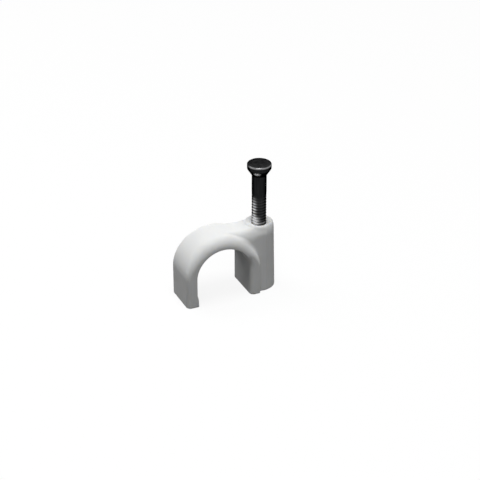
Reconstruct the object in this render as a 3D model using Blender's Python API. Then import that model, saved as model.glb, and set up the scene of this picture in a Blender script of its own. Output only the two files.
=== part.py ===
# Nail-in cable clip: a moulded plastic hook for a round cable, with a ring-shank nail in its boss.
# Metres, +Z up. The feet stand on z = 0, the cable runs along Y and the nail points down along Z.

import math

import bmesh
import bpy
from mathutils import Matrix, Vector

# Driving dimensions of the hook
CABLE_DIAMETER = 0.0080
CABLE_CLEARANCE = 0.0001
CABLE_CENTRE_HEIGHT = 0.00434
FREE_LEG_WALL = 0.00172
CROWN_WALL = 0.00180
BOSS_LEG_WALL = 0.00147
BOSS_SHOULDER_POWER = 4
HOOK_DEPTH = 0.00572
DRAFT_ANGLE = math.radians(1.2)
FREE_LEG_EDGE_RADIUS = 0.00050
CROWN_FRONT_EDGE_RADIUS = 0.00135
CROWN_BACK_EDGE_RADIUS = 0.00105
BOSS_LEG_FRONT_EDGE_RADIUS = 0.00025
BOSS_LEG_BACK_EDGE_RADIUS = 0.00060
LIP_DEPTH = 0.00017
LIP_HEIGHT = 0.00140

# Driving dimensions of the boss, its bore and the saddle beside it
BOSS_HEIGHT = 0.01030
BOSS_WALL = 0.00105
BOSS_RIM_RADIUS = 0.00035
BORE_TO_CABLE_WALL = 0.00118
MOUTH_FLARE = 0.00017
MOUTH_DEPTH = 0.00030
SADDLE_DIP = 0.00018
SADDLE_FRONT_EDGE_RADIUS = 0.00130
SADDLE_BACK_EDGE_RADIUS = 0.00090
SADDLE_INSET_AT_CROWN = 0.00026
SADDLE_INSET_AT_BOSS = 0.00008
SADDLE_SINK = 0.00005
SADDLE_OVERLAP = 0.00030

# Driving dimensions of the nail
NAIL_LENGTH = 0.0180
NAIL_STAND_OUT = 0.00918
NAIL_CLEARANCE = 0.00020
SHANK_DIAMETER = 0.00218
HEAD_DIAMETER = 0.00346
HEAD_RIM = 0.00062
HEAD_CONE = 0.00118
HEAD_EDGE = 0.00009
RING_CREST_DIAMETER = 0.00214
RING_GROOVE_DEPTH = 0.00006
RING_PITCH = 0.00044
RINGED_LENGTH = 0.0110
PLAIN_UNDER_HEAD = 0.00465
POINT_LENGTH = 0.0022
POINT_FLAT_DIAMETER = 0.00030

# Facets
ARC_STEPS = 28
LEG_STEPS = 5
EDGE_STEPS = 5
SADDLE_STEPS = 12
BOSS_SEGMENTS = 56
NAIL_SEGMENTS = 32
BORE_START_ANGLE = math.radians(0.8)
TRIM_DEPTH = 0.0010
MERGE_DISTANCE = 0.0000005

# Sizes that follow
DRAFT_SLOPE = math.tan(DRAFT_ANGLE)
INNER_RADIUS = CABLE_DIAMETER / 2 + CABLE_CLEARANCE
BORE_RADIUS = RING_CREST_DIAMETER / 2 + NAIL_CLEARANCE
BOSS_RADIUS = BORE_RADIUS + BOSS_WALL
BOSS_TOP_RADIUS = BOSS_RADIUS - DRAFT_SLOPE * BOSS_HEIGHT
NAIL_AXIS_X = INNER_RADIUS + BORE_TO_CABLE_WALL + BORE_RADIUS
CROWN_HEIGHT = CABLE_CENTRE_HEIGHT + INNER_RADIUS + CROWN_WALL
HOOK_LEFT = -INNER_RADIUS - FREE_LEG_WALL
BOSS_RIGHT = NAIL_AXIS_X + BOSS_RADIUS
NAIL_TOP = BOSS_HEIGHT + NAIL_STAND_OUT


def clear_scene():
    """Start from an empty scene."""
    for thing in list(bpy.data.objects):
        bpy.data.objects.remove(thing)


def surface(name, colour, roughness, metallic):
    """A plain Principled material."""
    material = bpy.data.materials.new(name)
    material.use_nodes = True
    shader = material.node_tree.nodes["Principled BSDF"]
    shader.inputs["Base Color"].default_value = (*colour, 1.0)
    shader.inputs["Roughness"].default_value = roughness
    shader.inputs["Metallic"].default_value = metallic
    return material


def mesh_object(name, shape):
    """Turn a bmesh into an object of the scene, its faces pointing out."""
    bmesh.ops.recalc_face_normals(shape, faces=shape.faces)
    mesh = bpy.data.meshes.new(name)
    shape.to_mesh(mesh)
    shape.free()
    thing = bpy.data.objects.new(name, mesh)
    bpy.context.collection.objects.link(thing)
    return thing


def loft(name, rings):
    """A closed body through a row of rings with as many points each, flat at both ends."""
    shape = bmesh.new()
    rows = [[shape.verts.new(point) for point in ring] for ring in rings]
    count = len(rings[0])
    for low, high in zip(rows, rows[1:]):
        for i in range(count):
            j = (i + 1) % count
            shape.faces.new((low[i], low[j], high[j], high[i]))
    shape.faces.new(rows[0])
    shape.faces.new(rows[-1])
    return mesh_object(name, shape)


def turn(name, profile, segments, axis_x, start_angle=0.0):
    """Spin a profile of (radius, height) points round an upright axis."""
    shape = bmesh.new()
    side = Vector((math.cos(start_angle), math.sin(start_angle), 0.0))
    points = [shape.verts.new(side * radius + Vector((0, 0, height))) for radius, height in profile]
    edges = [shape.edges.new(pair) for pair in zip(points, points[1:])]
    bmesh.ops.spin(shape, geom=points + edges, cent=(0, 0, 0), axis=(0, 0, 1),
                   angle=math.tau, steps=segments, use_duplicate=False)
    bmesh.ops.remove_doubles(shape, verts=shape.verts, dist=MERGE_DISTANCE)
    bmesh.ops.translate(shape, verts=shape.verts, vec=(axis_x, 0, 0))
    return mesh_object(name, shape)


def add_boolean(body, tool, operation):
    """Join a tool to the body, or cut it away, with a live exact Boolean."""
    tool.hide_render = True
    tool.display_type = 'WIRE'
    step = body.modifiers.new(tool.name, 'BOOLEAN')
    step.operation = operation
    step.solver = 'EXACT'
    step.object = tool


def corner(centre_a, centre_b, radius, start, steps):
    """Points of a quarter circle, in the plane of a section."""
    turns = [start + math.pi / 2 * i / steps for i in range(steps + 1)]
    return [(centre_a + radius * math.cos(t), centre_b + radius * math.sin(t)) for t in turns]


def hook_section(wall, front_edge, back_edge, lip):
    """Section across the strap: (across the depth, out from the inner face), outer edges rounded."""
    half = HOOK_DEPTH / 2
    outline = [(-half, -lip), (half, -lip)]
    outline += corner(half - back_edge, wall - back_edge, back_edge, 0.0, EDGE_STEPS)
    outline += corner(-half + front_edge, wall - front_edge, front_edge, math.pi / 2, EDGE_STEPS)
    return outline


def round_the_hook(turn_angle, free_leg, crown, boss_leg, boss_power=1):
    """A size that runs from its value at the free leg over the crown to the leg under the boss."""
    rise = math.sin(turn_angle)
    if turn_angle > math.pi / 2:
        return free_leg + (crown - free_leg) * rise
    return boss_leg + (crown - boss_leg) * rise ** boss_power


def lip_at(height):
    """Inward lip of the free leg: a soft bead over its lowest stretch."""
    below_top = min(max(1 - height / LIP_HEIGHT, 0.0), 1.0)
    return LIP_DEPTH * math.sin(math.pi / 2 * below_top) ** 0.6


def hook():
    """The strap of the hook, lofted from the free foot over the crown to the foot under the boss."""
    leg_heights = [-TRIM_DEPTH]
    leg_heights += [LIP_HEIGHT * (i + 1) / LEG_STEPS for i in range(LEG_STEPS)]
    leg_heights += [(LIP_HEIGHT + CABLE_CENTRE_HEIGHT) / 2]
    rings = []

    def add_ring(origin, outward, section):
        """Lay a section out from a point of the inner face."""
        spots = [origin + outward * out + Vector((0, across, 0)) for across, out in section]
        rings.append(spots)

    for height in leg_heights:
        origin = Vector((-INNER_RADIUS, 0, height))
        section = hook_section(FREE_LEG_WALL, FREE_LEG_EDGE_RADIUS, FREE_LEG_EDGE_RADIUS, lip_at(height))
        add_ring(origin, Vector((-1, 0, 0)), section)
    for i in range(ARC_STEPS + 1):
        turn_angle = math.pi - math.pi * i / ARC_STEPS
        outward = Vector((math.cos(turn_angle), 0, math.sin(turn_angle)))
        origin = Vector((0, 0, CABLE_CENTRE_HEIGHT)) + outward * INNER_RADIUS
        wall = round_the_hook(turn_angle, FREE_LEG_WALL, CROWN_WALL, BOSS_LEG_WALL, BOSS_SHOULDER_POWER)
        front_edge = round_the_hook(turn_angle, FREE_LEG_EDGE_RADIUS, CROWN_FRONT_EDGE_RADIUS,
                                    BOSS_LEG_FRONT_EDGE_RADIUS)
        back_edge = round_the_hook(turn_angle, FREE_LEG_EDGE_RADIUS, CROWN_BACK_EDGE_RADIUS,
                                   BOSS_LEG_BACK_EDGE_RADIUS)
        add_ring(origin, outward, hook_section(wall, front_edge, back_edge, 0.0))
    for height in (CABLE_CENTRE_HEIGHT / 2, -TRIM_DEPTH):
        origin = Vector((INNER_RADIUS, 0, height))
        section = hook_section(BOSS_LEG_WALL, BOSS_LEG_FRONT_EDGE_RADIUS, BOSS_LEG_BACK_EDGE_RADIUS, 0.0)
        add_ring(origin, Vector((1, 0, 0)), section)
    return loft("clip_body", rings)


def boss():
    """The drafted boss with its rounded rim, solid until the bore is cut."""
    profile = [(0.0, -TRIM_DEPTH), (BOSS_RADIUS + DRAFT_SLOPE * TRIM_DEPTH, -TRIM_DEPTH)]
    profile += corner(BOSS_TOP_RADIUS - BOSS_RIM_RADIUS, BOSS_HEIGHT - BOSS_RIM_RADIUS,
                      BOSS_RIM_RADIUS, 0.0, EDGE_STEPS)
    profile += [(0.0, BOSS_HEIGHT)]
    return turn("boss", profile, BOSS_SEGMENTS, NAIL_AXIS_X)


def saddle_top(x):
    """Height of the saddle's back, sagging between the crown and the top of the boss."""
    along = x / NAIL_AXIS_X
    straight = CROWN_HEIGHT + (BOSS_HEIGHT - CROWN_HEIGHT) * along
    return straight - SADDLE_SINK - SADDLE_DIP * math.sin(math.pi * along) ** 2


def saddle_bottom(x):
    """The web's underside stays buried in the hook's wall, then drops to the foot beside the boss."""
    middle = INNER_RADIUS + BOSS_LEG_WALL / 2
    if x > middle - BOSS_LEG_WALL / 4:
        return -TRIM_DEPTH
    return CABLE_CENTRE_HEIGHT + math.sqrt(middle ** 2 - x ** 2)


def saddle_half_depth(x):
    """The web narrows from just inside the strap to just inside the boss."""
    at_crown = HOOK_DEPTH / 2 - SADDLE_INSET_AT_CROWN
    at_boss = BOSS_TOP_RADIUS - SADDLE_INSET_AT_BOSS
    return at_crown + (at_boss - at_crown) * x / NAIL_AXIS_X


def saddle():
    """The web between the crown and the boss, drafted, with a rolled top edge on both sides."""
    rings = []
    start = -SADDLE_OVERLAP
    end = NAIL_AXIS_X - SADDLE_OVERLAP
    for i in range(SADDLE_STEPS + 1):
        x = start + (end - start) * i / SADDLE_STEPS
        top = saddle_top(x)
        bottom = saddle_bottom(x)
        half = saddle_half_depth(x)
        back = SADDLE_BACK_EDGE_RADIUS
        front = SADDLE_FRONT_EDGE_RADIUS
        foot = half + DRAFT_SLOPE * (top - bottom)
        section = [(-foot, bottom), (foot, bottom)]
        section += corner(half - back, top - back, back, 0.0, EDGE_STEPS)
        section += corner(-half + front, top - front, front, math.pi / 2, EDGE_STEPS)
        rings.append([Vector((x, across, height)) for across, height in section])
    return loft("saddle", rings)


def bore():
    """Cutter for the nail's bore, flared at the mouth."""
    mouth_radius = BORE_RADIUS + MOUTH_FLARE
    mouth_slope = MOUTH_FLARE / MOUTH_DEPTH
    profile = [(0.0, -2 * TRIM_DEPTH), (BORE_RADIUS, -2 * TRIM_DEPTH), (BORE_RADIUS, BOSS_HEIGHT - MOUTH_DEPTH),
               (mouth_radius + mouth_slope * TRIM_DEPTH, BOSS_HEIGHT + TRIM_DEPTH),
               (0.0, BOSS_HEIGHT + TRIM_DEPTH)]
    return turn("bore", profile, NAIL_SEGMENTS, NAIL_AXIS_X, BORE_START_ANGLE)


def foot_trim():
    """Cutter below z = 0 that leaves every foot flat."""
    span = BOSS_RIGHT - HOOK_LEFT
    shape = bmesh.new()
    bmesh.ops.create_cube(shape, size=1.0)
    bmesh.ops.scale(shape, verts=shape.verts, vec=(2 * span, 2 * span, span))
    bmesh.ops.translate(shape, verts=shape.verts, vec=(0, 0, -span / 2))
    return mesh_object("foot_trim", shape)


def clip_body():
    """The one moulded piece: hook, saddle and boss joined, then bored and trimmed flat."""
    body = hook()
    add_boolean(body, boss(), 'UNION')
    add_boolean(body, saddle(), 'UNION')
    add_boolean(body, bore(), 'DIFFERENCE')
    add_boolean(body, foot_trim(), 'DIFFERENCE')
    body.data.materials.append(surface("white_plastic", (0.80, 0.81, 0.81), 0.42, 0.0))
    return body


def ring_profile(top):
    """Closed rings rolled round the shank: a groove, its lower flank and a crest for each."""
    crest = RING_CREST_DIAMETER / 2
    root = crest - RING_GROOVE_DEPTH
    count = int(RINGED_LENGTH / RING_PITCH + 0.5)
    points = []
    for i in range(count):
        ring_top = top - RING_PITCH * i
        points += [(crest, ring_top), (root, ring_top - RING_PITCH * 0.35),
                   (root, ring_top - RING_PITCH * 0.55)]
    points.append((crest, top - RING_PITCH * count))
    return points


def nail():
    """The nail, turned in one profile from its head down to its point."""
    head = HEAD_DIAMETER / 2
    shank = SHANK_DIAMETER / 2
    rim_low = NAIL_TOP - HEAD_RIM
    neck = rim_low - HEAD_CONE
    tip = NAIL_TOP - NAIL_LENGTH
    profile = [(0.0, NAIL_TOP), (head - HEAD_EDGE, NAIL_TOP), (head, NAIL_TOP - HEAD_EDGE),
               (head, rim_low + HEAD_EDGE), (head - HEAD_EDGE, rim_low),
               (shank + HEAD_EDGE, neck + HEAD_EDGE), (shank, neck - HEAD_EDGE)]
    rings_top = NAIL_TOP - PLAIN_UNDER_HEAD
    profile.append((shank, rings_top + RING_PITCH))
    profile += ring_profile(rings_top)
    profile += [(RING_CREST_DIAMETER / 2, tip + POINT_LENGTH), (POINT_FLAT_DIAMETER / 2, tip), (0.0, tip)]
    body = turn("nail", profile, NAIL_SEGMENTS, NAIL_AXIS_X)
    body.data.materials.append(surface("dark_steel", (0.045, 0.048, 0.052), 0.28, 1.0))
    return body


def shade(thing):
    """Smooth shading with crisp arrises."""
    thing.data.shade_smooth()
    thing.data.set_sharp_from_angle(angle=math.radians(32))


def build():
    """Model the clip about the cable's axis, then centre its outline over the origin."""
    clear_scene()
    pieces = [clip_body(), nail()]
    frame = bpy.data.objects.new("clip_frame", None)
    bpy.context.collection.objects.link(frame)
    frame.matrix_world = Matrix.Translation((-(HOOK_LEFT + BOSS_RIGHT) / 2, 0, 0))
    for thing in list(bpy.data.objects):
        if thing.type == 'MESH':
            thing.parent = frame
    for thing in pieces:
        shade(thing)


build()
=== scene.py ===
# Dresses the nail-in cable clip: moulded white hook, ring-shank steel nail, and a plain studio.
# Metres, +Z up. The feet stand on z = 0, the cable runs along Y and the nail stands along Z.
import math

import bmesh
import bpy
from bpy.props import FloatProperty, FloatVectorProperty, IntProperty, PointerProperty
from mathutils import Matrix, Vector


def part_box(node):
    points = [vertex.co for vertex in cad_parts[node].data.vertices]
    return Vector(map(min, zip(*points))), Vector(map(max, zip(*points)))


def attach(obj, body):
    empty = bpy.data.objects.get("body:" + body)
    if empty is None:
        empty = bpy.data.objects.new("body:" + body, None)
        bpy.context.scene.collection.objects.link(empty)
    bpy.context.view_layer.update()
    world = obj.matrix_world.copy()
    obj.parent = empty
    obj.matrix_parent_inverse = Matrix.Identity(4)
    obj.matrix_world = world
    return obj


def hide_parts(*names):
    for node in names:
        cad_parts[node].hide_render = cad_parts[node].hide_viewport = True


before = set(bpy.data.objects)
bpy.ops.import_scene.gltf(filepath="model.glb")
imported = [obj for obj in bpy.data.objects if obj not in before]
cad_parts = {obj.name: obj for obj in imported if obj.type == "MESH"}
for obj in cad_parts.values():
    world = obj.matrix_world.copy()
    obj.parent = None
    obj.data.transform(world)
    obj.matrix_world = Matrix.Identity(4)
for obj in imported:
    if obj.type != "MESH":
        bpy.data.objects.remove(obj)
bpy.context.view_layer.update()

bl_info = {
    "name": "Nail-in Cable Clip",
    "version": (1, 0, 0),
    "blender": (4, 5, 0),
    "location": "3D View > Sidebar > Cable Clip",
    "description": "Builds the moulded hook and the ring-shank nail round the packed solids",
    "category": "Object",
}

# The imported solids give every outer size
BODY_LOW, BODY_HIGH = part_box("clip_body")
NAIL_LOW, NAIL_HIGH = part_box("nail")
NAIL_AXIS_X = (NAIL_LOW.x + NAIL_HIGH.x) / 2
HEAD_RADIUS = (NAIL_HIGH.x - NAIL_LOW.x) / 2

# The clip's rule and the nail's wear count in millimetres, and a radius that divides is at least a hair
MM = 1000.0
HAIR = 0.01

# Fineness: steps in an arc, sides of the floor, nearest points in metres, spare voxels round the clip
ARC_STEPS = 6
FLOOR_SEGMENTS = 96
WELD = 1e-7
MARGIN_VOXELS = 4

# Noise keeps mostly between these two values
NOISE_LOW = 0.3
NOISE_HIGH = 0.7

WHITE = (1.0, 1.0, 1.0, 1.0)


class ClipBodySizes(bpy.types.PropertyGroup):
    """Sizes of the moulded hook, its saddle and its boss."""

    inner_radius: FloatProperty(name="Inner radius", description="Arch round the cable",
                                default=0.0041, unit='LENGTH')
    cable_height: FloatProperty(name="Cable height", description="Cable's axis above the wall",
                                default=0.00434, unit='LENGTH')
    free_wall: FloatProperty(name="Free wall", description="Thickness of the free leg",
                             default=0.00172, unit='LENGTH')
    crown_wall: FloatProperty(name="Crown wall", description="Thickness over the crown",
                              default=0.00180, unit='LENGTH')
    boss_leg_wall: FloatProperty(name="Boss leg wall", description="Thickness of the rib by the boss",
                                 default=0.00167, unit='LENGTH')
    shoulder: FloatProperty(name="Shoulder", description="How late the rib thickens towards the crown",
                            default=3.0)
    leg_edge: FloatProperty(name="Leg edge", description="Rounding along the free leg and the rib's back",
                            default=0.00065, unit='LENGTH')
    rib_edge: FloatProperty(name="Rib edge", description="Front rounding of the rib beside the boss",
                            default=0.00022, unit='LENGTH')
    arch_edge: FloatProperty(name="Arch edge", description="Bull-nosed front edge over the crown",
                             default=0.00134, unit='LENGTH')
    rib_arch_edge: FloatProperty(name="Rib arch edge", description="Bull-nosed front edge by the rib",
                                 default=0.00112, unit='LENGTH')
    back_edge: FloatProperty(name="Back edge", description="Bull-nosed back edge over the crown",
                             default=0.00110, unit='LENGTH')
    arch_start: FloatProperty(name="Arch start", description="Rise of the free side to the full bull nose",
                              default=0.85)
    rib_start: FloatProperty(name="Rib start", description="Rise of the boss side to the full bull nose",
                             default=0.70)
    inner_edge: FloatProperty(name="Inner edge", description="Rounding round the cable arch",
                              default=0.00007, unit='LENGTH')
    rib_inner_edge: FloatProperty(name="Rib inner edge", description="Inner front rounding of the rib",
                                  default=0.00068, unit='LENGTH')
    rib_inner_power: FloatProperty(name="Rib inner power", description="How late that rounding sets in",
                                   default=14.0)
    side_draft: FloatProperty(name="Side draft", description="How far the strap thins from back to front",
                              default=0.00015, unit='LENGTH')
    foot_edge: FloatProperty(name="Foot edge", description="Rounding round the feet",
                             default=0.00010, unit='LENGTH')
    draft: FloatProperty(name="Draft", description="Mould draft of the boss and the saddle's sides",
                         default=math.radians(1.2), subtype='ANGLE')
    lip_depth: FloatProperty(name="Lip depth", description="Inward bead at the free foot",
                             default=0.00022, unit='LENGTH')
    lip_height: FloatProperty(name="Lip height", description="Stretch of the bead",
                              default=0.0018, unit='LENGTH')
    rim_edge: FloatProperty(name="Rim edge", description="Rounding of the boss's rim at its back",
                            default=0.00025, unit='LENGTH')
    rim_in: FloatProperty(name="Rim in", description="Reach of the rim's rolled front towards the nail",
                          default=0.00044, unit='LENGTH')
    rim_down: FloatProperty(name="Rim down", description="Reach of the rim's rolled front down the boss",
                            default=0.00150, unit='LENGTH')
    rim_start: FloatProperty(name="Rim start", description="Where the rim's roll starts, 1 is in front",
                             default=-0.15)
    rim_full: FloatProperty(name="Rim full", description="Where the rim's roll is full, 1 is in front",
                            default=0.95)
    saddle_dip: FloatProperty(name="Saddle dip", description="Sag between crown and boss",
                              default=0.00026, unit='LENGTH')
    saddle_half_crown: FloatProperty(name="Saddle at crown", description="Half its depth at the crown",
                                     default=0.00230, unit='LENGTH')
    saddle_half_boss: FloatProperty(name="Saddle at boss", description="Half its depth at the boss",
                                    default=0.00190, unit='LENGTH')
    saddle_in: FloatProperty(name="Saddle in", description="Reach of its front roll inwards",
                             default=0.00124, unit='LENGTH')
    saddle_down: FloatProperty(name="Saddle down", description="Reach of its front roll downwards",
                               default=0.00200, unit='LENGTH')
    saddle_back: FloatProperty(name="Saddle back", description="Rounding of the saddle's back edge",
                               default=0.00080, unit='LENGTH')
    saddle_root: FloatProperty(name="Saddle root", description="How far it reaches into the strap's wall",
                               default=0.5)
    roll_power: FloatProperty(name="Roll power", description="How late the roll turns into the rim's",
                              default=4.0)
    boss_blend: FloatProperty(name="Boss blend", description="Hollow fillet between saddle and boss",
                              default=0.00050, unit='LENGTH')
    low_blend: FloatProperty(name="Low blend", description="Hollow fillet beside the rib at its foot",
                             default=0.00010, unit='LENGTH')
    high_blend: FloatProperty(name="High blend", description="Hollow fillet beside the rib at its top",
                              default=0.00036, unit='LENGTH')
    blend_start: FloatProperty(name="Blend start", description="Depth under the ridge to the full fillets",
                               default=0.0012, unit='LENGTH')
    grip_radius: FloatProperty(name="Grip radius", description="Bore that holds the nail",
                               default=0.00105, unit='LENGTH')
    mouth_radius: FloatProperty(name="Mouth radius", description="Dish round the nail",
                                default=0.00150, unit='LENGTH')
    mouth_depth: FloatProperty(name="Mouth depth", description="Depth of the dish",
                               default=0.00024, unit='LENGTH')
    mouth_edge: FloatProperty(name="Mouth edge", description="Rounding of the dish's rim",
                              default=0.00012, unit='LENGTH', precision=6)
    voxel: FloatProperty(name="Voxel", description="Grid pitch that the skin is drawn from",
                         default=0.000084, unit='LENGTH', precision=6)


class NailSizes(bpy.types.PropertyGroup):
    """Sizes of the ring-shank nail."""

    shank_radius: FloatProperty(name="Shank radius", description="Plain shank under the head",
                                default=0.00106, unit='LENGTH')
    crest_radius: FloatProperty(name="Crest radius", description="Ringed shank over its rings",
                                default=0.00105, unit='LENGTH')
    rim: FloatProperty(name="Head rim", description="Upright band round the head",
                       default=0.00098, unit='LENGTH')
    cone: FloatProperty(name="Head cone", description="Height of the countersunk underside",
                        default=0.00078, unit='LENGTH')
    head_edge: FloatProperty(name="Head edge", description="Rounding of the head's rim",
                             default=0.00016, unit='LENGTH')
    head_low_edge: FloatProperty(name="Head low edge", description="Rounding from the band to the cone",
                                 default=0.00030, unit='LENGTH')
    face_ring: FloatProperty(name="Face ring", description="Ring of facets in the head's face, as a share",
                             default=0.5)
    neck_edge: FloatProperty(name="Neck edge", description="Soft turn from cone to shank",
                             default=0.00045, unit='LENGTH')
    plain: FloatProperty(name="Plain stretch", description="Head to the first ring",
                         default=0.00465, unit='LENGTH')
    ringed: FloatProperty(name="Ringed stretch", description="Length that carries rings",
                          default=0.0110, unit='LENGTH')
    pitch: FloatProperty(name="Ring pitch", description="Distance from ring to ring",
                         default=0.00044, unit='LENGTH')
    groove: FloatProperty(name="Groove depth", description="Depth between two rings",
                          default=0.00006, unit='LENGTH', precision=6)
    settling: FloatProperty(name="Settling rings", description="Rings until the grooves are fully deep",
                            default=6.0)
    ring_stray: FloatProperty(name="Ring stray", description="How far a ring wanders, in pitches",
                              default=0.22)
    point: FloatProperty(name="Point length", description="Length of the cone point",
                         default=0.0022, unit='LENGTH')
    point_flat: FloatProperty(name="Point flat", description="Radius of the blunt tip",
                              default=0.000147, unit='LENGTH', precision=6)
    forged: FloatProperty(name="Forged unevenness", description="Most that the head's radius varies",
                          default=0.00008, unit='LENGTH', precision=6)
    forged_scale: FloatProperty(name="Forged scale", description="Bumps of the unevenness in a metre",
                                default=900.0)
    segments: IntProperty(name="Segments", description="Facets round the nail", default=96, min=24)
    rows_per_ring: IntProperty(name="Rows per ring", description="Facets along each ring",
                               default=10, min=4)
    seed: IntProperty(name="Seed", description="Draws the unevenness", default=7)


class NailWearAndGlints(bpy.types.PropertyGroup):
    """Where the nail shows bright steel, and how much: 0 is the near-black base and 1 is bright steel. The
    ring lines and the struck face are worn bright; the rest is painted light: a strip of painted glints
    down one side, painted reflections of the white boss at the foot and where the shank enters it, a
    painted highlight on the front of the head's edge and a painted glint on its cone.
    """

    # Painted glints: a strip down one side of the rings, growing towards the boss and brightest on the
    # crests
    glint_column_angle: FloatProperty(name="Column angle", description="Side of the shank that is rubbed most",
                                default=math.radians(-158), subtype='ANGLE')
    glint_column_focus: FloatProperty(name="Column focus", description="How narrow the rubbed column is",
                                default=20.0)
    column: FloatProperty(name="Column", description="How bare the column is at the boss", default=0.25)
    glint_column_crests: FloatProperty(name="Column crests", description="How much barer its crests are",
                                 default=1.3)
    glint_crests_by: FloatProperty(name="Crests by", description="Share of the way down to its bare crests",
                             default=0.5)
    ring_lines: FloatProperty(name="Ring lines", description="How bare the crests are all round",
                              default=0.03)
    lines_by: FloatProperty(name="Lines by", description="Share of the way down to the full ring lines",
                            default=0.3333)
    # Painted reflection of the white boss in the nail's foot, leaning to the glint side
    foot_reflection_focus: FloatProperty(name="Foot focus", description="How narrow the rubbed foot is", default=5.0)
    foot_reflection_top: FloatProperty(name="Foot top", description="Height over the boss where its wear starts",
                            default=0.0014, unit='LENGTH')
    foot_reflection_full: FloatProperty(name="Foot full", description="Height over the boss where it is full",
                             default=0.0006, unit='LENGTH')
    foot_reflection_grooves: FloatProperty(name="Foot grooves", description="How bare the foot's grooves are",
                                default=0.6)
    foot_reflection_crests: FloatProperty(name="Foot crests", description="How much barer its crests are", default=0.9)
    # Painted reflection of the white rim where the shank enters the boss
    seat_reflection: FloatProperty(name="Seat", description="How bare the shank is where it enters the boss",
                        default=0.18)
    seat_reflection_top: FloatProperty(name="Seat top", description="Height over the boss where its wear starts",
                            default=0.0003, unit='LENGTH')
    seat_reflection_full: FloatProperty(name="Seat full", description="Height over the boss where it is full",
                             default=0.0001, unit='LENGTH')
    # Painted highlight along the front of the head's edge
    edge: FloatProperty(name="Edge", description="How bare the front of the head's edge is", default=0.33)
    edge_highlight_top: FloatProperty(name="Edge top", description="Depth under the face where its wear starts",
                            default=0.00001, unit='LENGTH', precision=6)
    edge_highlight_full: FloatProperty(name="Edge full", description="Depth under the face where it is full",
                             default=0.00005, unit='LENGTH', precision=6)
    edge_highlight_fade: FloatProperty(name="Edge fade", description="Depth under the face where it starts to fade",
                             default=0.00016, unit='LENGTH', precision=6)
    edge_highlight_low: FloatProperty(name="Edge low", description="Depth under the face where it ends",
                            default=0.00028, unit='LENGTH', precision=6)
    edge_highlight_in: FloatProperty(name="Edge in", description="Reach of the edge's wear in from the rim",
                           default=0.00020, unit='LENGTH', precision=6)
    edge_highlight_out: FloatProperty(name="Edge out", description="Distance in from the rim where it is full",
                            default=0.00012, unit='LENGTH', precision=6)
    edge_highlight_side: FloatProperty(name="Edge side", description="Where it starts round the head, 1 is the front",
                             default=-0.15)
    edge_highlight_front: FloatProperty(name="Edge front", description="Where it is full round the head",
                              default=0.35)
    face: FloatProperty(name="Face", description="How bare the struck face is", default=0.07)
    face_depth: FloatProperty(name="Face depth", description="Depth of the struck face's wear",
                              default=0.00002, unit='LENGTH', precision=6)
    # Painted glint on one side of the cone under the head
    neck_glint: FloatProperty(name="Scrape", description="How bare the scrape on the cone is", default=1.2)
    neck_glint_angle: FloatProperty(name="Scrape angle", description="Side of the cone that it is on",
                                default=math.radians(-126), subtype='ANGLE')
    neck_glint_in: FloatProperty(name="Scrape in", description="Its middle, in from the head's rim",
                             default=0.00020, unit='LENGTH', precision=6)
    neck_glint_low: FloatProperty(name="Scrape low", description="Its middle, below the upright band",
                              default=0.00015, unit='LENGTH', precision=6)
    neck_glint_wide: FloatProperty(name="Scrape wide", description="Its reach to either side",
                               default=0.00068, unit='LENGTH', precision=6)
    neck_glint_tall: FloatProperty(name="Scrape tall", description="Its reach up and down",
                               default=0.00042, unit='LENGTH', precision=6)


class Finishes(bpy.types.PropertyGroup):
    """Colours of the two materials."""

    plastic: FloatVectorProperty(name="Plastic", description="Colour of the moulding", subtype='COLOR',
                                 size=3, default=(0.80, 0.81, 0.81), min=0, max=1)
    plastic_shade: FloatVectorProperty(name="Plastic mottle", description="Faint darker cast in it",
                                       subtype='COLOR', size=3, default=(0.76, 0.765, 0.76), min=0, max=1)
    # Near-black base: partly the steel's dark skin and partly painted dark reflection, standing in for dark
    # surroundings that bright steel would mirror
    dark_skin_and_reflection: FloatVectorProperty(name="Dark skin and reflection", description="Dark skin of the hardened steel", subtype='COLOR',
                               size=3, default=(0.008, 0.0085, 0.009), min=0, max=1)
    # Bright steel on the worn ring lines and struck face, and the colour of the painted glints, reflections
    # and highlight
    bright_steel_and_glints: FloatVectorProperty(name="Bright steel", description="Steel where the skin is worn",
                                      subtype='COLOR', size=3, default=(0.74, 0.74, 0.75), min=0, max=1)


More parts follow.
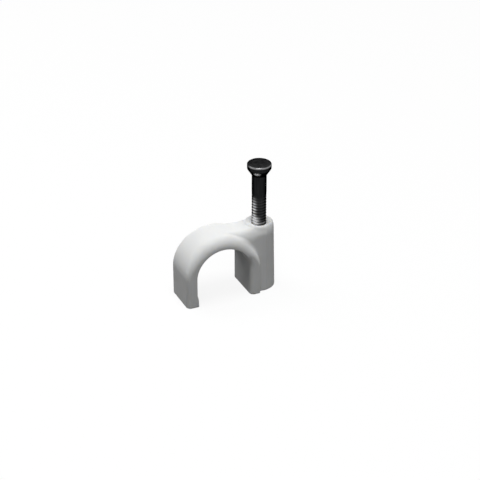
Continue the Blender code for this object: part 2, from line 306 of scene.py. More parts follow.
class StudioSettings(bpy.types.PropertyGroup):
    """Floor, lamps and camera."""

    floor_radius: FloatProperty(name="Floor radius", description="Radius of the pale floor",
                                default=0.60, unit='LENGTH')
    floor_paint: FloatProperty(name="Floor paint", description="Brightness where it takes the shadow",
                               default=0.9)
    floor_shadow: FloatProperty(name="Floor shadow", description="Share of that paint in the floor's white",
                                default=0.12)
    floor_bounce: FloatProperty(name="Floor bounce", description="Brightness in what it throws back",
                                default=0.08)
    key_watts: FloatProperty(name="Key", description="Power of the overhead softbox", default=2.70)
    key_size: FloatProperty(name="Key size", description="Side of the overhead softbox",
                            default=0.26, unit='LENGTH')
    key_place: FloatVectorProperty(name="Key place", description="Middle of the overhead softbox",
                                   subtype='TRANSLATION', size=3, default=(-0.010, -0.065, 0.585))
    front_watts: FloatProperty(name="Front card", description="Power of the lamp in front", default=0.145)
    front_place: FloatVectorProperty(name="Front place", description="Middle of the lamp in front",
                                     subtype='TRANSLATION', size=3, default=(-0.080, -0.225, 0.23))
    back_watts: FloatProperty(name="Back card", description="Power of the lamp behind on the left",
                              default=0.30)
    back_place: FloatVectorProperty(name="Back place", description="Middle of the lamp behind on the left",
                                    subtype='TRANSLATION', size=3, default=(-0.10, 0.14, 0.29))
    card_size: FloatProperty(name="Card size", description="Side of the front and back lamps",
                             default=0.16, unit='LENGTH')
    lamp_aim: FloatVectorProperty(name="Lamp aim", description="Point that the lamps look at",
                                  subtype='TRANSLATION', size=3, default=(0.0, 0.0, 0.01))
    fill: FloatProperty(name="Fill", description="Brightness of the surroundings on the object",
                        default=0.078)
    azimuth: FloatProperty(name="Azimuth", description="Camera's turn about the clip",
                           default=math.radians(-23.48), subtype='ANGLE')
    elevation: FloatProperty(name="Elevation", description="Camera's height angle",
                             default=math.radians(29.58), subtype='ANGLE')
    distance: FloatProperty(name="Distance", description="Camera to the point it looks at",
                            default=0.200, unit='LENGTH')
    lens: FloatProperty(name="Lens", description="Focal length in millimetres", default=105.1)
    aim: FloatVectorProperty(name="Aim", description="Point that the camera looks at",
                             subtype='TRANSLATION', size=3, default=(0.00209, 0.0, 0.00780))


class Value:
    """A number or colour in a node tree, which can be added, multiplied and compared like any other."""

    def __init__(self, tree, source):
        self.tree = tree
        self.source = source

    def into(self, socket):
        """Feed a socket with this value."""
        self.tree.links.new(self.source, socket)

    def maths(self, operation, *others):
        """One Math node fed by this value and the others."""
        node = self.tree.nodes.new("ShaderNodeMath")
        node.operation = operation
        for socket, item in zip(node.inputs, (self, *others)):
            if isinstance(item, Value):
                item.into(socket)
            else:
                socket.default_value = item
        return Value(self.tree, node.outputs[0])

    def __add__(self, other):
        return self.maths('ADD', other)

    def __sub__(self, other):
        return self.maths('SUBTRACT', other)

    def __mul__(self, other):
        return self.maths('MULTIPLY', other)

    def __truediv__(self, other):
        return self.maths('DIVIDE', other)

    def __neg__(self):
        return self.maths('MULTIPLY', -1.0)

    def larger(self, other):
        return self.maths('MAXIMUM', other)

    def smaller(self, other):
        return self.maths('MINIMUM', other)

    def between(self, low, high):
        return self.larger(low).smaller(high)

    def power(self, exponent):
        return self.maths('POWER', exponent)

    def root(self):
        return self.maths('SQRT')

    def sine(self):
        return self.maths('SINE')

    def unsigned(self):
        return self.maths('ABSOLUTE')

    def below(self, other):
        """1 where this value is less than the other, 0 elsewhere."""
        return self.maths('LESS_THAN', other)


def mix(low, high, share):
    """A value on the way from low to high."""
    return low + (high - low) * share


def reach(a, b):
    """Length of the arrow (a, b)."""
    return (a * a + b * b).root()


def eased(share):
    """A share held between 0 and 1 that starts and ends softly."""
    held = share.between(0.0, 1.0)
    return held * held * (held * -2.0 + 3.0)


def risen(value, start, full):
    """0 up to the start and 1 from full on, softly between, whichever of the two is larger."""
    return eased((value - start) / (full - start))


def rounded_corner(a, b, radius):
    """What is inside both a and b, its edge rounded."""
    inside = (a.larger(b) + radius).smaller(0.0)
    return inside + reach((a + radius).larger(0.0), (b + radius).larger(0.0)) - radius


def rolled_corner(a, b, reach_a, reach_b):
    """What is inside both a and b, its edge rolled as an oval that reaches back along each."""
    oval = reach((a / reach_a + 1.0).larger(0.0), (b / reach_b + 1.0).larger(0.0)) - 1.0
    inside = (a / reach_a + 1.0).larger(b / reach_b + 1.0).smaller(0.0)
    return (oval + inside) * reach_a.smaller(reach_b)


def rounded_join(a, b, radius):
    """What is inside a or b, with a hollow fillet where they meet."""
    near_a = (-a + radius).larger(0.0)
    near_b = (-b + radius).larger(0.0)
    return a.smaller(b).larger(radius) - reach(near_a, near_b)


def by_name(settings, *left_out):
    """A property group's numbers by their names, lengths in millimetres, apart from those left out."""
    numbers = {}
    for key, rule in settings.bl_rna.properties.items():
        if rule.type == 'FLOAT' and key not in left_out:
            numbers[rule.name] = getattr(settings, key) * (MM if rule.unit == 'LENGTH' else 1.0)
    return numbers


def in_millimetres(lengths):
    """The same lengths in millimetres."""
    return {label: length * MM for label, length in lengths.items()}


def new_tree(name, kind, inputs, source=None):
    """An empty tree with named inputs, first the Geometry or Vector that it works on if it has one."""
    tree = bpy.data.node_groups.new(name, kind)
    if source:
        tree.interface.new_socket(name=source, in_out='INPUT', socket_type='NodeSocket' + source)
    for label, amount in inputs.items():
        socket_type = 'NodeSocketInt' if isinstance(amount, int) else 'NodeSocketFloat'
        socket = tree.interface.new_socket(name=label, in_out='INPUT', socket_type=socket_type)
        socket.default_value = amount
    inlet = tree.nodes.new("NodeGroupInput")
    return tree, inlet, {label: Value(tree, inlet.outputs[label]) for label in inputs}


def add_node(tree, kind, settings=None):
    """A new node with its named sockets set."""
    node = tree.nodes.new(kind)
    set_sockets(node, settings or {})
    return node


def set_sockets(node, settings):
    """Set sockets by their names."""
    for label, amount in settings.items():
        node.inputs[label].default_value = amount


def axes_of(tree, vector):
    """The three parts of a vector."""
    apart = tree.nodes.new("ShaderNodeSeparateXYZ")
    tree.links.new(vector, apart.inputs[0])
    return [Value(tree, apart.outputs[axis]) for axis in "XYZ"]


def close_tree(tree, geometry, material):
    """End a tree in smooth shading, Realize Instances and Set Material."""
    tree.interface.new_socket(name="Geometry", in_out='OUTPUT', socket_type='NodeSocketGeometry')
    smooth = tree.nodes.new("GeometryNodeSetShadeSmooth")
    real = tree.nodes.new("GeometryNodeRealizeInstances")
    paint = add_node(tree, "GeometryNodeSetMaterial", {"Material": material})
    for step in (smooth, real, paint):
        tree.links.new(geometry, step.inputs["Geometry"])
        geometry = step.outputs["Geometry"]
    tree.links.new(geometry, tree.nodes.new("NodeGroupOutput").inputs["Geometry"])


def put_out(group, label, value):
    """Give a shader group its one output."""
    group.interface.new_socket(name=label, in_out='OUTPUT', socket_type='NodeSocketFloat')
    value.into(group.nodes.new("NodeGroupOutput").inputs[label])


def grown(name, tree, inputs, start=None):
    """Run a tree on a starting mesh and keep the plain mesh that comes out, as a new object."""
    seedling = bpy.data.objects.new(name + "_seedling", start or bpy.data.meshes.new(name + "_seed"))
    bpy.context.collection.objects.link(seedling)
    modifier = seedling.modifiers.new(tree.name, 'NODES')
    modifier.node_group = tree
    for item in tree.interface.items_tree:
        if item.in_out == 'INPUT' and item.name in inputs:
            modifier[item.identifier] = inputs[item.name]
    bpy.context.view_layer.update()
    graph = bpy.context.evaluated_depsgraph_get()
    mesh = bpy.data.meshes.new_from_object(seedling.evaluated_get(graph))
    mesh.name = name
    seedling.modifiers.remove(modifier)
    bpy.data.objects.remove(seedling)
    piece = bpy.data.objects.new(name, mesh)
    bpy.context.collection.objects.link(piece)
    return piece


class Spot:
    """Any point in and round the clip: its place from the cable's axis, and what it lies near."""

    def __init__(self, tree, size):
        place = tree.nodes.new("GeometryNodeInputPosition").outputs[0]
        x, self.y, self.z = axes_of(tree, place)
        self.x = x - size["Cable axis"]
        self.across = self.y.unsigned()
        self.free_side = self.x.below(0.0)
        self.front_side = self.y.below(0.0)
        above = (self.z - size["Cable height"]).larger(0.0)
        self.from_cable = reach(self.x, above)
        self.upward = above / self.from_cable.larger(HAIR)
        self.from_nail = reach(self.x - size["Nail offset"], self.y)
        self.drafted = (size["Half depth"] - self.y) / (size["Half depth"] * 2.0) * size["Side draft"]


def strap_wall(size, at):
    """Thickness of the strap, from each leg to the crown."""
    rise = mix(at.upward.power(size["Shoulder"]), at.upward, at.free_side)
    return mix(mix(size["Boss leg wall"], size["Free wall"], at.free_side), size["Crown wall"], rise)


def strap_edge(size, at):
    """Rounding of the strap's side edges, from nearly sharp at the rib to a bull nose over the crown."""
    boss_side = -at.free_side + 1.0
    low = mix(size["Leg edge"], size["Rib edge"], at.front_side * boss_side)
    rib_arch = mix(size["Rib arch edge"], size["Arch edge"], eased(at.upward))
    started = eased(at.upward / mix(size["Rib start"], size["Arch start"], at.free_side))
    front = mix(low, mix(rib_arch, size["Arch edge"], at.free_side), started)
    back = mix(low, size["Back edge"], eased(at.upward) * eased(at.upward))
    return mix(back, front, at.front_side)


def boss_rule(size, at):
    """The boss, turned about the nail and tapered, its rim rolled over at the front."""
    facing_front = risen(-at.y / at.from_nail.larger(HAIR), size["Rim start"], size["Rim full"])
    roll_in = mix(size["Rim edge"], size["Rim in"], facing_front)
    roll_down = mix(size["Rim edge"], size["Rim down"], facing_front)
    side = at.from_nail - size["Boss radius"] + at.z * size["Slope"]
    return rolled_corner(side, at.z - size["Boss height"], roll_in, roll_down)


def saddle_ridge(size, at, along):
    """Height of the saddle's top, which sags between crown and boss."""
    sag = (along * math.pi).sine()
    crown = size["Cable height"] + size["Inner radius"] + size["Crown wall"]
    return mix(crown - at.drafted, size["Boss height"], along) - sag * sag * size["Saddle dip"]


def saddle_rule(size, at, along, ridge):
    """The saddle, a web that narrows from crown to boss, rolled over at the front."""
    half = mix(size["Saddle at crown"], size["Saddle at boss"], along)
    side = at.across - half + (at.z - size["Boss height"]) * size["Slope"]
    late = along.power(size["Roll power"])
    roll_in = mix(size["Saddle back"], mix(size["Saddle in"], size["Rim in"], late), at.front_side)
    roll_down = mix(size["Saddle back"], mix(size["Saddle down"], size["Rim down"], late), at.front_side)
    web = rolled_corner(side, at.z - ridge, roll_in, roll_down)
    return web.larger(-at.x).larger(at.x - size["Nail offset"])


def cable_opening(size, at):
    """Radius of the opening for the cable, with its draft and the lip at the free foot."""
    low = (-(at.z / size["Lip height"]) + 1.0).between(0.0, 1.0)
    lip = (low * (math.pi / 2)).sine().root() * size["Lip depth"] * at.free_side
    return size["Inner radius"] - size["Side draft"] + at.drafted - lip


def clip_rule(tree, size):
    """Distance from the clip's skin in millimetres, below zero inside the plastic."""
    at = Spot(tree, size)
    wall = strap_wall(size, at)
    outer = at.from_cable - size["Inner radius"] - wall
    strap = rounded_corner(outer + at.drafted, at.across - size["Half depth"], strap_edge(size, at))
    along = (at.x / size["Nail offset"]).between(0.0, 1.0)
    ridge = saddle_ridge(size, at, along)
    saddle = saddle_rule(size, at, along, ridge).larger(-outer - wall * size["Saddle root"])

    # All joined, with hollow fillets that fade out towards the ridge
    under_ridge = eased((ridge - at.z) / size["Blend start"])
    boss = rounded_join(boss_rule(size, at), saddle, size["Boss blend"] * under_ridge)
    up_the_arch = eased((at.z - size["Cable height"]) / size["Inner radius"])
    hollow = mix(size["Low blend"], size["High blend"], up_the_arch)
    body = rounded_join(strap, boss, hollow * under_ridge)

    # Opened for the cable and the nail, and cut flat at the wall
    down_the_rib = (at.x / size["Inner radius"]).between(0.0, 1.0).power(size["Rib inner power"])
    inner_edge = mix(size["Inner edge"], size["Rib inner edge"], down_the_rib * at.front_side)
    body = rounded_corner(body, cable_opening(size, at) - at.from_cable, inner_edge)
    flare = ((at.z - size["Boss height"]) / size["Mouth depth"] + 1.0).larger(0.0)
    bore = mix(size["Grip radius"], size["Mouth radius"], flare)
    body = rounded_corner(body, bore - at.from_nail, size["Mouth edge"])
    return rounded_corner(body, -at.z, size["Foot edge"])


def clip_sizes(sizes):
    """The rule's inputs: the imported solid's sizes, the slope, and each property by its name."""
    cable_axis = BODY_LOW.x + sizes.free_wall + sizes.inner_radius
    inputs = in_millimetres({
        "Cable axis": cable_axis,
        "Nail offset": NAIL_AXIS_X - cable_axis,
        "Half depth": BODY_HIGH.y,
        "Boss height": BODY_HIGH.z,
        "Boss radius": BODY_HIGH.x - NAIL_AXIS_X,
    })
    inputs["Slope"] = math.tan(sizes.draft)
    inputs.update(by_name(sizes, "draft", "voxel"))
    return inputs


def clip_tree(inputs, voxel, material):
    """A voxel field shaped by the clip's rule, turned into one closed skin."""
    tree, _, size = new_tree("Moulded clip", "GeometryNodeTree", inputs)
    distance = clip_rule(tree, size)
    margin = Vector((1.0, 1.0, 1.0)) * MARGIN_VOXELS * voxel
    low = BODY_LOW * MM - margin
    high = BODY_HIGH * MM + margin
    block = add_node(tree, "GeometryNodeVolumeCube", {"Background": -1.0, "Min": low, "Max": high})
    for axis, length in zip("XYZ", high - low):
        block.inputs["Resolution " + axis].default_value = round(length / voxel)
    (-distance).into(block.inputs["Density"])
    skin = add_node(tree, "GeometryNodeVolumeToMesh", {"Threshold": 0.0})
    tree.links.new(block.outputs["Volume"], skin.inputs["Volume"])
    metres = add_node(tree, "GeometryNodeTransform", {"Scale": (1 / MM, 1 / MM, 1 / MM)})
    tree.links.new(skin.outputs["Mesh"], metres.inputs["Geometry"])
    close_tree(tree, metres.outputs["Geometry"], material)
    return tree


def arc(centre_x, centre_z, radius, start, finish):
    """Points of an arc in the nail's profile."""
    turns = [start + (finish - start) * i / ARC_STEPS for i in range(ARC_STEPS + 1)]
    return [(centre_x + radius * math.cos(t), centre_z + radius * math.sin(t)) for t in turns]


def nail_profile(sizes):
    """The nail's outline as (radius, height), from the middle of the head down to the point."""
    top = NAIL_HIGH.z
    edge = sizes.head_edge
    rim_low = top - sizes.rim
    neck = rim_low - sizes.cone
    lean = math.atan2(HEAD_RADIUS - sizes.shank_radius, sizes.cone)
    outline = [(0.0, top), (HEAD_RADIUS * sizes.face_ring, top)]
    outline += arc(HEAD_RADIUS - edge, top - edge, edge, math.pi / 2, 0.0)
    low_edge = sizes.head_low_edge
    outline += arc(HEAD_RADIUS - low_edge, rim_low + low_edge, low_edge, 0.0, -lean)
    turn = sizes.neck_edge
    outline += arc(sizes.shank_radius + turn, neck - turn * math.tan(lean / 2), turn,
                   math.pi - lean, math.pi)

    # The shank, in rows that are close enough for its rings
    rings_top = top - sizes.plain
    step = sizes.pitch / sizes.rows_per_ring
    rows = round((sizes.ringed + sizes.pitch) / step)
    for i in range(rows + 1):
        settled = min(i / sizes.rows_per_ring, 1.0)
        radius = sizes.shank_radius + (sizes.crest_radius - sizes.shank_radius) * settled
        outline.append((radius, rings_top + sizes.pitch - step * i))
    outline.append((sizes.crest_radius, NAIL_LOW.z + sizes.point))
    return outline + [(sizes.point_flat, NAIL_LOW.z), (0.0, NAIL_LOW.z)]


def turned(name, outline, segments, axis_x):
    """Spin an outline of (radius, height) round the nail's axis, closed at both ends."""
    shape = bmesh.new()
    points = [shape.verts.new((radius, 0.0, height)) for radius, height in outline]
    edges = [shape.edges.new(pair) for pair in zip(points, points[1:])]
    bmesh.ops.spin(shape, geom=points + edges, cent=(0, 0, 0), axis=(0, 0, 1),
                   angle=math.tau, steps=segments, use_duplicate=False)
    bmesh.ops.remove_doubles(shape, verts=shape.verts, dist=WELD)
    bmesh.ops.recalc_face_normals(shape, faces=shape.faces)
    bmesh.ops.translate(shape, verts=shape.verts, vec=(axis_x, 0, 0))
    return kept_mesh(shape, name)


def kept_mesh(shape, name):
    """Keep a bmesh as a named mesh and free it."""
    mesh = bpy.data.meshes.new(name)
    shape.to_mesh(mesh)
    shape.free()
    return mesh


def ring_sizes(sizes):
    """The ring tree's inputs in metres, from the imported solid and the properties."""
    return {
        "Axis": NAIL_AXIS_X,
        "Rings top": NAIL_HIGH.z - sizes.plain,
        "Rings end": NAIL_HIGH.z - sizes.plain - sizes.ringed,
        "Head low": NAIL_HIGH.z - sizes.rim - sizes.cone,
        "Rim": sizes.rim,
        "Pitch": sizes.pitch,
        "Groove": sizes.groove,
        "Settling": sizes.settling,
        "Ring stray": sizes.ring_stray,
        "Forged": sizes.forged,
        "Forged scale": sizes.forged_scale,
        "Seed": sizes.seed,
    }


def ring_tree(inputs, material):
    """Rolls rings into the shank and lets the forged head stray a little from round."""
    tree, inlet, size = new_tree("Rolled rings", "GeometryNodeTree", inputs, "Geometry")
    place = tree.nodes.new("GeometryNodeInputPosition").outputs[0]
    x, y, z = axes_of(tree, place)
    x = x - size["Axis"]
    noise = add_node(tree, "ShaderNodeTexNoise", {"Detail": 1.0})
    noise.noise_dimensions = '4D'
    tree.links.new(place, noise.inputs["Vector"])
    size["Forged scale"].into(noise.inputs["Scale"])
    size["Seed"].into(noise.inputs["W"])
    stray = Value(tree, noise.outputs[0]) - 0.5

    # Depth of the groove at this height: none on the crests and on the plain shank
    below_top = (size["Rings top"] - z) / size["Pitch"]
    phase = below_top + stray * size["Ring stray"]
    wave = (phase * math.tau).sine() * -0.5 + 0.5
    started = (below_top / size["Settling"]).between(0.0, 1.0)
    ended = ((z - size["Rings end"]) / size["Pitch"]).between(0.0, 1.0)
    groove = wave * started.root() * ended * size["Groove"]
    on_head = ((z - size["Head low"]) / size["Rim"]).between(0.0, 1.0)
    uneven = stray * on_head * size["Forged"]
    shift = (uneven - groove) / reach(x, y).larger(size["Groove"])

    offset = tree.nodes.new("ShaderNodeCombineXYZ")
    (x * shift).into(offset.inputs["X"])
    (y * shift).into(offset.inputs["Y"])
    bend = tree.nodes.new("GeometryNodeSetPosition")
    tree.links.new(inlet.outputs["Geometry"], bend.inputs["Geometry"])
    tree.links.new(offset.outputs[0], bend.inputs["Offset"])
    close_tree(tree, bend.outputs["Geometry"], material)
    return tree


def variation_group():
    """Soft noise between two values, which every finish uses, made once."""
    name = "Surface variation"
    if name in bpy.data.node_groups:
        return bpy.data.node_groups[name]
    inputs = {"Scale": 400.0, "Detail": 3.0, "Low": 0.0, "High": 1.0}
    group, inlet, size = new_tree(name, "ShaderNodeTree", inputs, "Vector")
    noise = group.nodes.new("ShaderNodeTexNoise")
    for label in ("Vector", "Scale", "Detail"):
        group.links.new(inlet.outputs[label], noise.inputs[label])
    share = (Value(group, noise.outputs[0]) - NOISE_LOW) / (NOISE_HIGH - NOISE_LOW)
    put_out(group, "Amount", mix(size["Low"], size["High"], share.between(0.0, 1.0)))
    return group


def variation(tree, spot, **settings):
    """Place the shared variation in a material with its own values."""
    node = tree.nodes.new("ShaderNodeGroup")
    node.node_tree = variation_group()
    set_sockets(node, settings)
    tree.links.new(spot, node.inputs["Vector"])
    return Value(tree, node.outputs["Amount"])


def new_material(name):
    """A material and its node tree."""
    material = bpy.data.materials.new(name)
    material.use_nodes = True
    return material, material.node_tree


def on_the_piece(tree):
    """Object coordinates."""
    return tree.nodes.new("ShaderNodeTexCoord").outputs["Object"]


def colour_between(tree, share, low, high):
    """Mix two colours by a share."""
    node = tree.nodes.new("ShaderNodeMix")
    node.data_type = 'RGBA'
    set_sockets(node, {"A": (*low, 1.0), "B": (*high, 1.0)})
    share.into(node.inputs["Factor"])
    return Value(tree, node.outputs["Result"])


def white_plastic(finishes):
    """Satin white moulding: faint mottling, uneven sheen, a fine grain and light that soaks in."""
    material, tree = new_material("white_plastic")
    shader = tree.nodes["Principled BSDF"]
    spot = on_the_piece(tree)
    mottle = variation(tree, spot, Scale=260.0, Detail=3.0)
    colour_between(tree, mottle, finishes.plastic_shade, finishes.plastic).into(shader.inputs["Base Color"])
    variation(tree, spot, Scale=700.0, Detail=4.0, Low=0.52, High=0.66).into(shader.inputs["Roughness"])
    set_sockets(shader, {
        "IOR": 1.49,
        "Diffuse Roughness": 1.0,
        "Subsurface Weight": 0.72,
        "Subsurface Radius": (1.0, 0.95, 0.85),
        "Subsurface Scale": 0.0003,
        "Specular IOR Level": 0.04,
    })
    bump = add_node(tree, "ShaderNodeBump", {"Strength": 0.25, "Distance": 0.00001})
    variation(tree, spot, Scale=9000.0, Detail=2.0).into(bump.inputs["Height"])
    tree.links.new(bump.outputs[0], shader.inputs["Normal"])
    return material


def wear_and_glint_sizes(nail, wear_and_glints):
    """The inputs of the group for worn marks and painted light: places on the nail, the side of the painted
    glints, and each property by its name.
    """
    # Middle of the painted glint on the cone
    neck_glint_out = HEAD_RADIUS - wear_and_glints.neck_glint_in
    inputs = in_millimetres({
        "Axis": NAIL_AXIS_X,
        "Head top": NAIL_HIGH.z,
        "Head radius": HEAD_RADIUS,
        "Rings top": NAIL_HIGH.z - nail.plain,
        "Boss top": BODY_HIGH.z,
        "Crest radius": nail.crest_radius,
        "Groove": nail.groove,
        "Scrape X": neck_glint_out * math.cos(wear_and_glints.neck_glint_angle),
        "Scrape Y": neck_glint_out * math.sin(wear_and_glints.neck_glint_angle),
        "Scrape Z": NAIL_HIGH.z - nail.rim - wear_and_glints.neck_glint_low,
    })
    # Side of the painted glints and of the foot's painted reflection
    inputs["Column X"] = math.cos(wear_and_glints.glint_column_angle)
    inputs["Column Y"] = math.sin(wear_and_glints.glint_column_angle)
    inputs.update(by_name(wear_and_glints, "glint_column_angle", "neck_glint_angle", "neck_glint_in", "neck_glint_low"))
    return inputs


def shank_wear_and_glints(size, x, y, z, from_axis):
    """How bright the shank is: a strip of painted glints on one side, a thin worn line on every crest, and
    painted reflections of the white boss at the foot and where the shank enters the boss.
    """
    toward_glint_side = ((x * size["Column X"] + y * size["Column Y"]) / from_axis.larger(HAIR)).larger(0.0)
    driven = ((size["Rings top"] - z) / (size["Rings top"] - size["Boss top"])).between(0.0, 1.0)
    crest = ((from_axis - size["Crest radius"]) / size["Groove"] + 1.0).between(0.0, 1.0)
    sharp = crest * crest
    # Painted glints: a strip down one side, growing towards the boss and brighter on the crests
    column = eased(driven) * size["Column"]
    column = column + sharp * eased(driven / size["Crests by"]) * size["Column crests"]
    lines = sharp * eased(driven / size["Lines by"]) * size["Ring lines"]
    above_boss = z - size["Boss top"]
    # Painted reflection of the white boss in the foot, leaning to the glint side
    foot = risen(above_boss, size["Foot top"], size["Foot full"]) * toward_glint_side.power(size["Foot focus"])
    foot = foot * (crest * size["Foot crests"] + size["Foot grooves"])
    # Painted reflection of the white rim where the shank enters the boss
    seat_reflection = risen(above_boss, size["Seat top"], size["Seat full"]) * size["Seat"]
    return column * toward_glint_side.power(size["Column focus"]) + lines + foot + seat_reflection


def head_wear_and_glints(size, x, y, z, from_axis):
    """How bright the head is: a painted highlight on the front of its edge, its worn struck face and a
    painted glint on its cone.
    """
    under_top = size["Head top"] - z
    # Painted highlight along the front of the head's edge
    edge = risen(under_top, size["Edge top"], size["Edge full"])
    edge = edge * risen(under_top, size["Edge low"], size["Edge fade"])
    edge = edge * risen(size["Head radius"] - from_axis, size["Edge in"], size["Edge out"])
    edge = edge * risen(-y / from_axis.larger(HAIR), size["Edge side"], size["Edge front"])
    face = eased(-(under_top / size["Face depth"]) + 1.0)
    # Painted glint on one side of the cone
    aside = reach(x - size["Scrape X"], y - size["Scrape Y"]) / size["Scrape wide"]
    neck_glint = reach(aside, (z - size["Scrape Z"]) / size["Scrape tall"])
    return edge * size["Edge"] + face * size["Face"] + eased(-neck_glint + 1.0) * size["Scrape"]


def wear_and_glint_group(inputs):
    """How bright the nail is at each point, from 0 to 1: its worn ring lines and struck face, and its
    painted glints, reflections and highlight.
    """
    group, inlet, size = new_tree("Nail wear", "ShaderNodeTree", inputs, "Vector")
    x, y, z = [axis * MM for axis in axes_of(group, inlet.outputs["Vector"])]
    x = x - size["Axis"]
    from_axis = reach(x, y)
    # Worn marks and painted light together
    bare = shank_wear_and_glints(size, x, y, z, from_axis) + head_wear_and_glints(size, x, y, z, from_axis)
    put_out(group, "Wear and glints", bare.between(0.0, 1.0))
    return group


def dark_steel(finishes, nail, wear_and_glints):
    """Hardened steel with a near-black skin that is partly painted dark reflection, drawn along the shank,
    bright on its worn ring lines and struck face and on its painted glints, reflections and highlight.
    """
    material, tree = new_material("dark_steel")
    shader = tree.nodes["Principled BSDF"]
    spot = on_the_piece(tree)
    along_the_shank = 0.06
    drawn = add_node(tree, "ShaderNodeMapping", {"Scale": (1.0, 1.0, along_the_shank)})
    tree.links.new(spot, drawn.inputs["Vector"])
    streaks = variation(tree, drawn.outputs[0], Scale=9000.0, Detail=3.0, Low=0.0, High=0.012)
    # The group that places the worn marks and the painted glints, reflections and highlight
    inputs = wear_and_glint_sizes(nail, wear_and_glints)
    rubbed_and_glinting = tree.nodes.new("ShaderNodeGroup")
    rubbed_and_glinting.node_tree = wear_and_glint_group(inputs)
    set_sockets(rubbed_and_glinting, inputs)
    tree.links.new(spot, rubbed_and_glinting.inputs["Vector"])
    patchy = variation(tree, spot, Scale=2500.0, Detail=2.0, Low=0.7, High=1.0)
    # Bright steel on worn marks and on painted glints, reflections and highlight
    bare = Value(tree, rubbed_and_glinting.outputs["Wear and glints"]) * patchy + streaks
    colour_between(tree, bare, finishes.dark_skin_and_reflection, finishes.bright_steel_and_glints).into(shader.inputs["Base Color"])
    variation(tree, spot, Scale=1500.0, Detail=3.0, Low=0.22, High=0.36).into(shader.inputs["Roughness"])
    set_sockets(shader, {"Metallic": 1.0, "Specular Tint": (0.12, 0.12, 0.12, 1.0)})
    return material


def seen_directly(tree):
    """1 for camera, glossy and transmission rays, 0 for the rest."""
    rays = tree.nodes.new("ShaderNodeLightPath").outputs
    camera, glossy, through = [Value(tree, rays[f"Is {kind} Ray"])
                               for kind in ("Camera", "Glossy", "Transmission")]
    return camera.larger(glossy).larger(through)


def matt(tree, brightness):
    """A matt grey shader."""
    return add_node(tree, "ShaderNodeBsdfDiffuse", {"Color": (brightness, brightness, brightness, 1.0)})


def either(tree, first, second):
    """A node that mixes two shaders by a share that is still to be set."""
    node = tree.nodes.new("ShaderNodeMixShader")
    tree.links.new(first.outputs[0], node.inputs[1])
    tree.links.new(second.outputs[0], node.inputs[2])
    return node


def pale_floor(studio):
    """A pale floor: white to the camera and in reflections, darker for the light that it throws back."""
    material, tree = new_material("pale_floor")
    tree.nodes.remove(tree.nodes["Principled BSDF"])
    glow = add_node(tree, "ShaderNodeEmission", {"Color": WHITE})
    seen = either(tree, glow, matt(tree, studio.floor_paint))
    seen.inputs[0].default_value = studio.floor_shadow
    choose = either(tree, matt(tree, studio.floor_bounce), seen)
    seen_directly(tree).into(choose.inputs[0])
    tree.links.new(choose.outputs[0], tree.nodes["Material Output"].inputs["Surface"])
    return material


def lay_floor(studio):
    """A round floor under the clip."""
    shape = bmesh.new()
    bmesh.ops.create_circle(shape, cap_ends=True, segments=FLOOR_SEGMENTS, radius=studio.floor_radius)
    mesh = kept_mesh(shape, "floor")
    mesh.materials.append(pale_floor(studio))
    floor = bpy.data.objects.new("floor", mesh)
    bpy.context.collection.objects.link(floor)


def studio_world(fill):
    """White surroundings to the eye and in reflections, a low even fill on the object."""
    world = bpy.data.worlds.new("studio")
    bpy.context.scene.world = world
    world.use_nodes = True
    backdrop = world.node_tree.nodes["Background"]
    set_sockets(backdrop, {"Color": WHITE})
    strength = seen_directly(world.node_tree) * (1.0 - fill) + fill
    strength.into(backdrop.inputs["Strength"])


def area_lamp(name, place, aim, size, watts):
    """A square soft lamp that looks at a point."""
    lamp = bpy.data.lights.new(name, 'AREA')
    lamp.size = size
    lamp.energy = watts
    thing = bpy.data.objects.new(name, lamp)
    thing.location = place
    thing.rotation_euler = (Vector(aim) - Vector(place)).to_track_quat('-Z', 'Y').to_euler()
    bpy.context.collection.objects.link(thing)


def place_camera(studio):
    """The photograph's view of the clip."""
    back = Vector((math.sin(studio.azimuth) * math.cos(studio.elevation),
                   -math.cos(studio.azimuth) * math.cos(studio.elevation),
                   math.sin(studio.elevation)))
    camera = bpy.data.objects.new("camera", bpy.data.cameras.new("camera"))
    camera.data.lens = studio.lens
    camera.data.clip_start = 0.01
    camera.data.clip_end = 10.0
    camera.location = Vector(studio.aim) + back * studio.distance
    camera.rotation_euler = back.to_track_quat('Z', 'Y').to_euler()
    bpy.context.collection.objects.link(camera)
    bpy.context.scene.camera = camera


class CABLECLIP_OT_body(bpy.types.Operator):
    """Grow the moulded hook, saddle and boss as one plastic skin"""

    bl_idname = "cableclip.body"
    bl_label = "Moulded body"

    def execute(self, context):
        sizes = context.scene.clip_body
        inputs = clip_sizes(sizes)
        tree = clip_tree(inputs, sizes.voxel * MM, white_plastic(context.scene.clip_finishes))
        body = grown("moulded_body", tree, inputs)
        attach(body, "root")
        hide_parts("clip_body")
        return {'FINISHED'}


class CABLECLIP_OT_nail(bpy.types.Operator):
    """Turn the nail and roll its rings"""

    bl_idname = "cableclip.nail"
    bl_label = "Ring-shank nail"

    def execute(self, context):
        sizes = context.scene.clip_nail
        inputs = ring_sizes(sizes)
        tree = ring_tree(inputs, dark_steel(context.scene.clip_finishes, sizes, context.scene.clip_wear))
        blank = turned("nail_blank", nail_profile(sizes), sizes.segments, NAIL_AXIS_X)
        nail = grown("ring_nail", tree, inputs, blank)
        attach(nail, "root")
        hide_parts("nail")
        return {'FINISHED'}


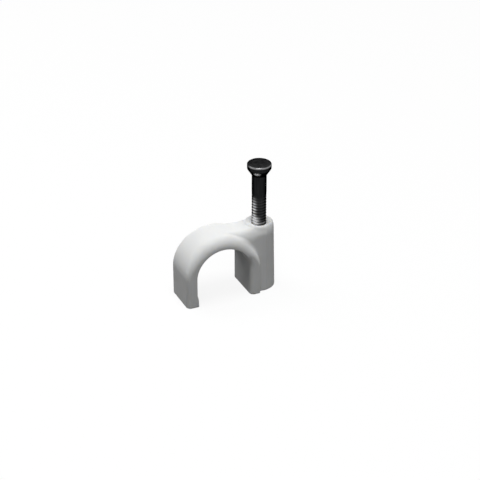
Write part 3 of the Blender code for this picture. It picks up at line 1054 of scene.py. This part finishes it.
class CABLECLIP_OT_studio(bpy.types.Operator):
    """Lay the floor, hang the lamps and set the camera"""

    bl_idname = "cableclip.studio"
    bl_label = "Studio"

    def execute(self, context):
        studio = context.scene.clip_studio
        lay_floor(studio)
        studio_world(studio.fill)
        area_lamp("overhead_softbox", studio.key_place, studio.lamp_aim, studio.key_size, studio.key_watts)
        area_lamp("front_card", studio.front_place, studio.lamp_aim, studio.card_size, studio.front_watts)
        area_lamp("back_card", studio.back_place, studio.lamp_aim, studio.card_size, studio.back_watts)
        place_camera(studio)
        context.scene.view_settings.view_transform = 'Standard'
        return {'FINISHED'}


class CABLECLIP_PT_panel(bpy.types.Panel):
    """Lists the pieces and their settings in the 3D view's sidebar"""

    bl_idname = "CABLECLIP_PT_panel"
    bl_label = "Cable Clip"
    bl_space_type = 'VIEW_3D'
    bl_region_type = 'UI'
    bl_category = "Cable Clip"

    def draw(self, context):
        for operator in OPERATORS:
            self.layout.operator(operator.bl_idname)
        for group in SETTINGS:
            box = self.layout.box()
            settings = getattr(context.scene, group)
            for name in settings.bl_rna.properties.keys():
                if name not in ("rna_type", "name"):
                    box.prop(settings, name)


SETTINGS = {
    "clip_body": ClipBodySizes,
    "clip_nail": NailSizes,
    "clip_wear": NailWearAndGlints,
    "clip_finishes": Finishes,
    "clip_studio": StudioSettings,
}
OPERATORS = (CABLECLIP_OT_body, CABLECLIP_OT_nail, CABLECLIP_OT_studio)
CLASSES = (*SETTINGS.values(), *OPERATORS, CABLECLIP_PT_panel)


def register():
    """Register the classes and hang the settings on the scene."""
    for cls in CLASSES:
        bpy.utils.register_class(cls)
    for name, group in SETTINGS.items():
        setattr(bpy.types.Scene, name, PointerProperty(type=group))


def unregister():
    """Take the settings and the classes away again."""
    for name in SETTINGS:
        delattr(bpy.types.Scene, name)
    for cls in reversed(CLASSES):
        bpy.utils.unregister_class(cls)


def main():
    """Build everything in order."""
    register()
    bpy.ops.cableclip.body()
    bpy.ops.cableclip.nail()
    bpy.ops.cableclip.studio()


if __name__ == "__main__":
    main()
